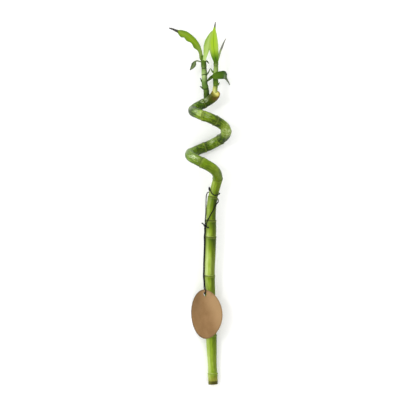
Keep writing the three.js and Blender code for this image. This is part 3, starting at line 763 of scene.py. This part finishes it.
# Shoot stems
STEMS = {
    "left_shoot_stem": {
        "path": [
            [-2.6, 315, 16], [-2.9, 321, 16.2], [-3.3, 328, 17.3], [-4.9, 334, 18.2],
            [-5.1, 340, 19], [-5.4, 347, 20], [-5.9, 354, 21], [-6.4, 360, 21.8], [-7, 366, 22.4],
        ],
        "radii": [
            [0, 3.3], [0.15, 3.3], [0.3, 3.1], [0.31, 3.5], [0.45, 3.2], [0.56, 2.9], [0.57, 3.3],
            [0.75, 2.8], [0.76, 3.1], [0.9, 2.9], [1, 2.3],
        ],
        "steps": [0.305, 0.565, 0.755],
        "scales": [
            scale_leaf([[-6, 328.5, 18], [-8, 330.5, 18.4], [-10.2, 331.8, 18.6]], 1),
            scale_leaf([[-6, 334.5, 19], [-8.3, 337.5, 19.6], [-9.8, 341, 19.8]], 0.9),
            scale_leaf([[-4.5, 343, 20.5], [-1.2, 346.5, 22.6], [1, 351, 23]], 0.8),
            scale_leaf([[-4.5, 360, 22], [-2.4, 359.4, 22.6], [-0.4, 357, 22]], 0.9),
        ],
    },
    "right_shoot_stem": {
        "path": [
            [6.1, 321, 21], [6.5, 328, 22.6], [7.2, 334, 24], [7, 342, 25.2], [7.4, 350, 26.3],
            [7.5, 357, 27.2], [7.5, 364, 28],
        ],
        "radii": [
            [0, 3], [0.2, 2.8], [0.3, 2.7], [0.31, 3], [0.5, 2.8], [0.51, 3.1], [0.62, 2.8],
            [0.8, 2.5], [0.81, 2.8], [0.92, 2.4], [1, 1.8],
        ],
        "steps": [0.305, 0.505, 0.805],
        "scales": [
            scale_leaf([[8.6, 332, 24.2], [10.2, 333.6, 24.6], [11.2, 336, 24.4]], 0.8),
            scale_leaf([[6.4, 345.5, 26.4], [3.6, 348, 27.6], [1.4, 351.4, 28]], 0.9),
        ],
    },
}


def shoot_stem(stem):
    route = Route(stem["path"])
    shares = np.linspace(0, 1, STEM_RINGS + 1)
    lengths = shares * route.length
    normals, sides = route.frames(lengths)
    angles = steps_round(STEM_SIDES)
    steps = np.array(stem["steps"])
    nearest = np.abs(shares[:, None] - steps[None, :]).argmin(1)
    slanted = shares[:, None] + SHEATH_SLANT * np.cos(angles[None, :] - nearest[:, None] * math.pi)
    radius = lookup(stem["radii"], slanted)
    x, z = polar(radius, angles)
    vertices = laid_out(route.at(lengths), normals, sides, x, z).reshape(-1, 3)
    gap = np.abs(slanted[..., None] - steps).min(-1)
    flat = [x, around(lengths, STEM_SIDES), z]
    fields = {
        "along": np.repeat(shares, STEM_SIDES),
        "flat": np.stack(flat, -1).reshape(-1, 3),
        "step": gap.ravel(),
        "scale": np.zeros(len(vertices)),
    }
    parts = [(vertices, tube_faces(STEM_RINGS + 1, STEM_SIDES), fields)]
    for vertices, faces, fields in map(blade, stem["scales"]):
        fields["step"] = fields["scale"] = np.ones(len(vertices))
        parts.append((vertices, faces, fields))
    return joined(parts)


STEM_SLOTS = {"left_shoot_stem": "shoot_green", "right_shoot_stem": "shoot_pale"}
stem_pieces = {
    name: new_piece(name + "_sheaths", name, STEM_SLOTS[name], *shoot_stem(stem), ["left_back"])
    for name, stem in STEMS.items()
}


# Tag
def lay_over_cane(across, along):
    """Where a place on the flat card lies, and the card's normal there."""
    turn = math.radians(TAG_TURN)
    s = across * math.cos(turn) + along * math.sin(turn)
    q = along * math.cos(turn) - across * math.sin(turn)
    lean = math.radians(TAG_LEAN)
    sin, cos = math.sin(lean), math.cos(lean)
    bend = (TAG_WIDTH / 2 - TAG_SEAT) / (lean - math.radians(TAG_FLAT_END))
    reach = TAG_REACH + TAG_LIFT * (0.5 + q / TAG_LENGTH)
    tilt = lean - np.maximum(0, s - TAG_SEAT) / bend
    before = np.minimum(0, s - TAG_SEAT)
    y = TAG_Y + q
    x = centre_at(TAG_Y)[0] - reach * sin + before * cos + bend * (sin - np.sin(tilt))
    z = AXIS_START + AXIS_SLOPE * y + reach * cos + before * sin + bend * (np.cos(tilt) - cos)
    normal = np.stack([-np.sin(tilt), np.zeros_like(tilt), np.cos(tilt)], -1)
    return np.stack([x, y, z], -1), normal


def tag_piece():
    """The card as rings: from the hole's wall out over the face, round the rim, and back."""
    angles = steps_round(TAG_SPOKES)
    faces_out = np.linspace(*TAG_FACE, TAG_RINGS) ** TAG_RING_GROWTH
    profile = [(0.0, 0.0)]
    profile += [(out, 1.0) for out in faces_out]
    profile += [(1.0, TAG_RIM_LEVEL), (1.0, -TAG_RIM_LEVEL)]
    profile += [(out, -1.0) for out in faces_out[::-1]]
    half_width, half_length = TAG_WIDTH / 2, TAG_LENGTH / 2
    hole_x, hole_y = polar(TAG_HOLE_RADIUS, angles)
    hole_y = half_length - TAG_HOLE_INSET + hole_y
    rim_x = half_width * np.cos(angles)
    rim_y = half_length * np.sin(angles)
    rings = []
    spots = []
    for out, level in profile:
        across = hole_x + (rim_x - hole_x) * out
        along = hole_y + (rim_y - hole_y) * out
        point, normal = lay_over_cane(across, along)
        rings.append(point + normal * (TAG_THICKNESS / 2 * level))
        spots.append(np.stack([across, along, np.full(TAG_SPOKES, level)], -1))
    vertices = np.concatenate(rings)
    spot = np.concatenate(spots)
    rest(vertices, np.maximum(0, -spot[:, 0] / half_width) ** 2)
    count = len(profile)
    faces = []
    for i in range(count):
        low = i * TAG_SPOKES
        high = ((i + 1) % count) * TAG_SPOKES
        for j in range(TAG_SPOKES):
            k = (j + 1) % TAG_SPOKES
            faces.append((low + j, high + j, high + k, low + k))
    across, along = spot[:, 0] / half_width, spot[:, 1] / half_length
    fields = {
        "card": spot,
        "card_across": across,
        "card_along": along,
        "rim": np.sqrt(across**2 + along**2),
    }
    mesh = (vertices, faces, fields)
    return new_piece("tag_card", "tag", "kraft_paper", *mesh, sharp=TAG_SHARP_ANGLE)


tag = tag_piece()


# Materials
# The usual limits of a noise, and the gloss that leaves and stems share
NOISE_LOW = 0.3
NOISE_HIGH = 0.7
LEAF_GLOSS = {"Specular_IOR_Level": 0.08, "Coat_Weight": 0.04, "Coat_Roughness": 0.25}
VEIN_SHARE = 0.3
# The share of a blade over which its green turns to its tip's colour
TIP_DRIES_OVER = 0.1


def colour(code):
    """A colour in the renderer's linear numbers, from its usual hexadecimal form."""
    shares = [int(code[i : i + 2], 16) / 255 for i in (1, 3, 5)]
    linear = [s / 12.92 if s <= 0.04045 else ((s + 0.055) / 1.055) ** 2.4 for s in shares]
    return (*linear, 1.0)


class Finish:
    """One procedural material, made of small node steps."""

    def __init__(self, name, **numbers):
        self.material = bpy.data.materials.new(name)
        self.material.use_nodes = True
        self.tree = self.material.node_tree
        self.shader = self.tree.nodes["Principled BSDF"]
        for socket, value in numbers.items():
            self.shader.inputs[socket.replace("_", " ")].default_value = value

    def node(self, kind, *values, **named):
        """A new node, with numbers or sockets for its inputs."""
        node = self.tree.nodes.new("ShaderNode" + kind)
        for socket, value in zip(node.inputs, values):
            self.plug(socket, value)
        for name, value in named.items():
            self.plug(node.inputs[name.replace("_", " ")], value)
        return node

    def plug(self, socket, value):
        if isinstance(value, bpy.types.NodeSocket):
            self.tree.links.new(value, socket)
        else:
            socket.default_value = value

    def attribute(self, name):
        node = self.node("Attribute")
        node.attribute_name = name
        return node

    def field(self, name):
        return self.attribute(name).outputs["Fac"]

    def vector(self, name, stretch=(1, 1, 1)):
        scaled = self.node("VectorMath", self.attribute(name).outputs["Vector"], stretch)
        scaled.operation = "MULTIPLY"
        return scaled.outputs["Vector"]

    def noise(self, vector, scale, detail=3, rough=0.55, warp=0.0):
        node = self.node(
            "TexNoise", Vector=vector, Scale=scale, Detail=detail, Roughness=rough, Distortion=warp
        )
        return node.outputs["Fac"]

    def reckon(self, operation, *values):
        node = self.node("Math", *values)
        node.operation = operation
        return node.outputs[0]

    def plus(self, a, b):
        return self.reckon("ADD", a, b)

    def times(self, first, *others):
        for other in others:
            first = self.reckon("MULTIPLY", first, other)
        return first

    def span(self, value, low, high, to_low=0.0, to_high=1.0):
        """The value's stretch from low to high, eased over the stretch from to_low to to_high."""
        node = self.node(
            "MapRange", Value=value, From_Min=low, From_Max=high, To_Min=to_low, To_Max=to_high
        )
        node.interpolation_type = "SMOOTHSTEP"
        return node.outputs["Result"]

    def sway(self, noise, amount):
        """A noise as a number from minus the amount to plus it."""
        return self.span(noise, NOISE_LOW, NOISE_HIGH, -amount, amount)

    def ramp(self, value, stops):
        node = self.node("ValToRGB", Fac=value)
        elements = node.color_ramp.elements
        while len(elements) < len(stops):
            elements.new(0.5)
        for element, (place, code) in zip(elements, stops):
            element.position = place
            element.color = colour(code)
        return node.outputs["Color"]

    def over(self, base, top, *shares, blend="MIX"):
        """A colour laid over another one, as far as all the shares let it through."""
        node = self.node("Mix")
        node.data_type = "RGBA"
        node.blend_type = blend
        self.plug(node.inputs["Factor"], self.times(*shares))
        inputs = [s for s in node.inputs if s.type == "RGBA"]
        for socket, value in zip(inputs, (base, top)):
            self.plug(socket, colour(value) if isinstance(value, str) else value)
        return [s for s in node.outputs if s.type == "RGBA"][0]

    def coat(self, top, *shares, blend="MIX"):
        """Lays another colour over the base colour so far."""
        self.base = self.over(self.base, top, *shares, blend=blend)

    def bump(self, height, distance, strength, below=None):
        node = self.node("Bump", Height=height, Distance=distance, Strength=strength)
        if below is not None:
            self.plug(node.inputs["Normal"], below)
        return node.outputs["Normal"]

    def wear(self, piece, roughness, normal):
        """Finishes the material and gives it to the piece."""
        ends = {"Base Color": self.base, "Roughness": roughness, "Normal": normal}
        for socket, value in ends.items():
            self.plug(self.shader.inputs[socket], value)
        piece.data.materials.append(self.material)


CANE_TONES = [
    (0.0, "#1f3505"), (0.15, "#354b05"), (0.3, "#4b6405"), (0.45, "#647e08"),
    (0.6, "#7e971f"), (0.75, "#97ae42"), (0.9, "#afc268"), (1.0, "#c2d58a"),
]
CUT_TONES = [
    (0.0, "#dcd884"), (0.5, "#cfc868"), (0.76, "#a89a44"), (0.92, "#7c6826"),
    (1.0, "#4c380f"),
]


def finish_cane(piece):
    f = Finish("cane_green", Specular_IOR_Level=0.06, Coat_Weight=0.12, Coat_Roughness=0.12)
    tone = f.field("tone")
    mottled = f.field("mottled")
    joint = f.field("joint")
    coiled = f.field("coiled")
    left_back = f.field("left_back")
    place = f.field("place")

    def grain(stretch, scale, *detail):
        """A noise in the skin, drawn out along the cane where the stretch is small."""
        return f.noise(f.vector("skin", (1, 1, stretch)), scale, *detail)

    def by_run(on_straight, on_coil):
        return f.span(coiled, 0, 1, on_straight, on_coil)

    streaks = grain(0.07, 1.1, 4)
    blotches = grain(0.5, 0.22, 4)
    mottle = grain(0.45, 0.5, 5, 0.68, 0.5)
    shade = f.plus(tone, f.sway(blotches, 0.06))
    shade = f.plus(shade, f.sway(streaks, 0.06))
    shade = f.plus(shade, f.times(mottled, f.span(mottle, 0.36, 0.62, -0.22, 0.14)))
    # The coil's sides are painted darker than its crest, as shade.
    sides = f.times(coiled, f.span(f.field("up"), 0.6, 0.1, 0, 0.16))
    shade = f.reckon("SUBTRACT", shade, sides)
    # Painted light: the left side is paler than the right, most on the straight run.
    painted_left_light = f.span(left_back, 0.0, 0.42)
    shade = f.plus(shade, f.times(painted_left_light, by_run(0.17, 0.08)))
    f.base = f.ramp(shade, CANE_TONES)
    f.coat("#dcffff", f.field("cool"), 0.8, blend="MULTIPLY")
    # Painted light: a pale wash over the left side as well.
    f.coat("#c8d4a0", painted_left_light, by_run(0.12, 0.06))
    # Painted shade: the right side is darker, a little less so near the foot.
    by_place = f.span(place, 70, 120, 0.75, 1.0)
    painted_right_shade = f.span(left_back, -0.02, -0.42)
    f.coat("#a8a688", by_place, by_run(1.0, 0.55), painted_right_shade, blend="MULTIPLY")
    # The lower strands are darker in blotches, partly their own skin and partly painted shade.
    low = f.span(f.field("height"), 0.1, -0.8)
    f.coat("#2b380b", low, f.span(blotches, 0.4, 0.62, 0.1, 0.4))
    # Dark parts of the coils are blotched nearly black, and painted highlights streak their crests.
    patches = f.span(grain(0.55, 0.42, 5, 0.72, 0.4), 0.5, 0.6)
    dark = f.span(tone, 0.5, 0.28)
    f.coat("#1d2b07", patches, dark, f.span(mottled, 0.3, 1, 0, 0.75))
    # Painted highlights: pale streaks along the coil's crests.
    crest = f.span(f.field("crest"), 0.8, 0.95)
    painted_glint_streaks = f.span(grain(0.22, 0.9, 4, 0.6), 0.44, 0.56)
    f.coat("#d2e2ae", crest, painted_glint_streaks, f.field("bloom"), 0.85)
    # Painted highlight: the coil's upper left edges are paler, as a sheen.
    f.coat("#b4c498", f.span(left_back, 0.8, 0.98), by_run(0, 0.28))
    # Brown scuffs and specks gather on the coils.
    scuffs = grain(0.35, 0.75, 5, 0.7, 0.6)
    f.coat("#454914", f.span(scuffs, 0.55, 0.68), f.span(mottled, 0, 1, 0.06, 0.6))
    cells = f.node("TexVoronoi", Vector=f.vector("skin", (1, 1, 0.7)), Scale=0.9)
    specks = f.span(cells.outputs["Distance"], 0.26, 0.1)
    gate = f.span(grain(1, 0.16, 2), 0.45, 0.58)
    f.coat("#1a1c08", specks, gate, f.span(mottled, 0, 1, 0.2, 0.9))
    # Each joint has a thin dark scar with a pale band under it, and buds are dark.
    band = f.times(f.span(joint, -2.4, -0.9), f.span(joint, 0.2, -0.5))
    f.coat("#83903c", band, 0.3)
    scar = f.times(f.span(joint, -0.35, 0.15), f.span(joint, 1.3, 0.6))
    uneven = f.span(streaks, 0.3, 0.6, 0.5, 0.9)
    f.coat("#34380c", scar, uneven, by_run(1.0, 0.65), f.span(place, 20, 14, 1.0, 0.4))
    f.coat("#343a14", f.field("bud"), 0.8)
    # The foot has yellowed and its last millimetres have browned.
    f.coat("#8c8434", f.span(f.plus(place, f.sway(streaks, 1.5)), 12, 4), 0.65)
    foot = f.span(f.plus(place, f.sway(streaks, 0.8)), 5.0, 2.9)
    # The browned band is painted darker on the right side, as shade.
    f.coat("#38360c", foot, f.span(left_back, -0.1, 0.6, 0.92, 0.6))
    # The crown has darkened under its cut, and its rim has browned, most at the right.
    f.coat("#4a5206", f.span(f.plus(place, f.sway(blotches, 2)), 452, 462), 0.7)
    rind = f.span(left_back, 0.3, -0.4, 0.2, 0.85)
    f.coat("#5c4a10", f.span(place, 459, 464), rind)
    # The cut faces are pale in the middle, and painted darker towards the left and the foot, as
    # shade.
    face = f.ramp(f.plus(f.field("share"), f.sway(grain(0.2, 1.6, 4), 0.06)), CUT_TONES)
    face = f.over(face, "#5c5c12", f.span(f.field("left_front"), -0.15, 0.5, 0, 0.85))
    f.coat(face, f.span(f.field("cut"), 0.3, 0.8))
    roughness = f.span(f.plus(streaks, f.times(scar, 0.4)), 0.3, 0.9, 0.3, 0.6)
    normal = f.bump(grain(0.02, 2.6, 3), 0.00012, 0.5)
    f.wear(piece, roughness, f.bump(scuffs, 0.00018, 0.5, normal))


def finish_leaf(piece, name, centre, edge, base_end, tip, tip_from):
    f = Finish(name, **LEAF_GLOSS)
    along = f.field("along")
    across = f.reckon("ABSOLUTE", f.field("across"))
    veins = f.noise(f.vector("flat", (3.2, 0.05, 1)), 1.0, 3, 0.6)
    cloud = f.noise(f.vector("flat", (0.3, 0.12, 1)), 1.0, 3)
    f.base = centre
    f.coat(edge, f.span(f.plus(across, f.sway(cloud, 0.2)), 0.2, 0.95))
    f.coat(base_end, f.span(along, 0.34, 0.06))
    f.coat(edge, f.span(veins, 0.45, 0.75, 0, VEIN_SHARE))
    f.coat(centre, f.span(veins, 0.5, 0.25, 0, VEIN_SHARE))
    # The midrib
    f.coat(base_end, f.span(across, 0.13, 0.03, 0, 0.5))
    dry = f.span(f.plus(along, f.sway(cloud, 0.03)), tip_from, tip_from + TIP_DRIES_OVER)
    f.coat(tip, dry)
    roughness = f.span(f.plus(cloud, dry), 0.3, 1.3, 0.36, 0.72)
    f.wear(piece, roughness, f.bump(cloud, 0.0006, 0.3, f.bump(veins, 0.0003, 0.5)))


def finish_stem(piece, name, stops, dark, mouth):
    f = Finish(name, **LEAF_GLOSS)
    along = f.field("along")
    veins = f.noise(f.vector("flat", (1.6, 0.06, 1.6)), 1.0, 3, 0.6)
    cloud = f.noise(f.vector("flat", (0.3, 0.18, 0.3)), 1.0, 3)
    f.base = f.ramp(f.plus(along, f.sway(cloud, 0.03)), stops)
    f.coat(dark, f.span(veins, 0.45, 0.75, 0, 0.4))
    # Painted shade darkens the right side; the sheaths' mouths and the scale leaves' tips are
    # darker too.
    f.coat(dark, f.span(f.field("left_back"), 0.0, -0.5, 0, 0.6))
    f.coat(mouth, f.span(f.field("step"), 0.02, 0.004, 0, 0.75))
    f.coat(dark, f.field("scale"), f.span(along, 0.1, 0.8, 0.6, 1))
    roughness = f.span(veins, 0.3, 0.8, 0.36, 0.55)
    f.wear(piece, roughness, f.bump(veins, 0.0003, 0.6))


def finish_card(piece):
    f = Finish("kraft_paper", Specular_IOR_Level=0.08)
    fine = f.noise(f.vector("card"), 6.0, 4, 0.7)
    fibres = f.noise(f.vector("card", (0.25, 2.4, 1)), 1.6, 4, 0.7, 1.5)
    cross = f.noise(f.vector("card", (2.4, 0.3, 1)), 1.4, 4, 0.7, 1.5)
    cloud = f.noise(f.vector("card"), 0.09, 3)
    f.base = f.ramp(cloud, [(0.25, "#80613e"), (0.5, "#886945"), (0.75, "#92714d")])
    # It is painted paler towards the hole and the right as light, and darker at its left edge as
    # shade.
    across = f.field("card_across")
    along = f.field("card_along")
    painted_light_towards_hole = f.plus(across, f.times(along, 0.6))
    f.coat("#b09068", f.span(painted_light_towards_hole, 0.05, 0.9, 0, 0.65))
    f.coat("#6a5236", f.span(across, -0.1, -0.6), f.span(along, -0.3, 0.4), 0.5)
    f.coat("#a88b66", f.span(fibres, 0.52, 0.72, 0, 0.35))
    f.coat("#6c5034", f.span(cross, 0.55, 0.75, 0, 0.35))
    f.coat("#62492e", f.span(fine, 0.6, 0.75, 0, 0.4))
    # It is darker in patches near the hole, and its rim is darker, most on the left.
    f.coat("#6a5028", f.span(along, 0.55, 0.8), f.span(cloud, 0.4, 0.6), 0.35)
    darker_rim = f.span(f.field("rim"), 0.93, 0.98)
    f.coat("#5e4c38", darker_rim, f.span(across, 0.2, -0.4, 0.4, 0.8))
    roughness = f.span(fine, 0.3, 0.7, 0.75, 0.92)
    f.wear(piece, roughness, f.bump(fine, 0.0001, 0.6, f.bump(fibres, 0.00012, 0.5)))


def finish_string(piece):
    f = Finish("black_string", Specular_IOR_Level=0.15)
    hairs = f.noise(f.vector("skin", (6, 6, 1.4)), 1.0, 3, 0.7)
    f.base = f.ramp(hairs, [(0.3, "#0c0c0c"), (0.55, "#161617"), (0.8, "#262629")])
    # Painted shade: the valleys between the plies are darker.
    f.coat("#080808", f.span(f.field("valley"), 0.4, 1.0, 0, 0.8))
    roughness = f.span(hairs, 0.3, 0.7, 0.7, 0.95)
    f.wear(piece, roughness, f.bump(hairs, 0.00015, 0.6))
    return f.material


finish_cane(cane)
finish_card(tag)
tie.data.materials.append(finish_string(loop))
for name, (_, *colours) in LEAF_LOOKS.items():
    finish_leaf(leaf_pieces[name], name + "_finish", *colours)
# Per stem: its tones from its foot up, its dark green and painted shade, and its sheaths' mouths
STEM_FINISHES = {
    "left_shoot_stem": (
        [
            (0.0, "#3c5214"), (0.2, "#48611c"), (0.32, "#5b7a2c"), (0.42, "#64823f"),
            (0.56, "#abc47c"), (0.66, "#8ba85c"), (0.8, "#4f6e1c"), (1.0, "#48680f"),
        ],
        "#2a3d18", "#1f2e10",
    ),
    "right_shoot_stem": (
        [
            (0.0, "#dcdc94"), (0.16, "#c8cc72"), (0.3, "#506c10"), (0.44, "#314c06"),
            (0.56, "#8faa58"), (0.72, "#8ea65a"), (0.86, "#425d0e"), (1.0, "#3e5a0e"),
        ],
        "#48641f", "#3a5218",
    ),
}
for name, colours in STEM_FINISHES.items():
    finish_stem(stem_pieces[name], STEM_SLOTS[name], *colours)


# Floor and light, in metres
FLOOR_SIZE = 30
SKY_STRENGTH = 1.2
# Per light: place, width and height, and power
LIGHTS = {
    "key": ((-1.1, 0.5, 2.2), (0.25, 0.25), 8),
    "glint": ((-0.9, 2.2, 1.0), (0.3, 0.25), 4),
}

floor_mesh = bpy.data.meshes.new("floor")
half = FLOOR_SIZE / 2
floor_corners = [(-half, -half, 0), (half, -half, 0), (half, half, 0), (-half, half, 0)]
floor_mesh.from_pydata(floor_corners, [], [(0, 1, 2, 3)])
floor = placed(bpy.data.objects.new("floor", floor_mesh))
floor_finish = Finish("floor_white", Base_Color=colour("#fcfcfb"), Roughness=0.7)
floor.data.materials.append(floor_finish.material)

world = bpy.data.worlds.new("studio")
bpy.context.scene.world = world
world.use_nodes = True
sky = world.node_tree.nodes["Background"].inputs
sky["Color"].default_value = (1, 1, 1, 1)
sky["Strength"].default_value = SKY_STRENGTH

for name, (place, size, power) in LIGHTS.items():
    light = bpy.data.lights.new(name, "AREA")
    light.shape = "RECTANGLE"
    light.size, light.size_y = size
    light.energy = power
    lamp = placed(bpy.data.objects.new(name, light))
    lamp.location = place
    lamp.rotation_euler = (-Vector(place)).to_track_quat("-Z", "Y").to_euler()

bpy.context.scene.view_settings.view_transform = "Standard"
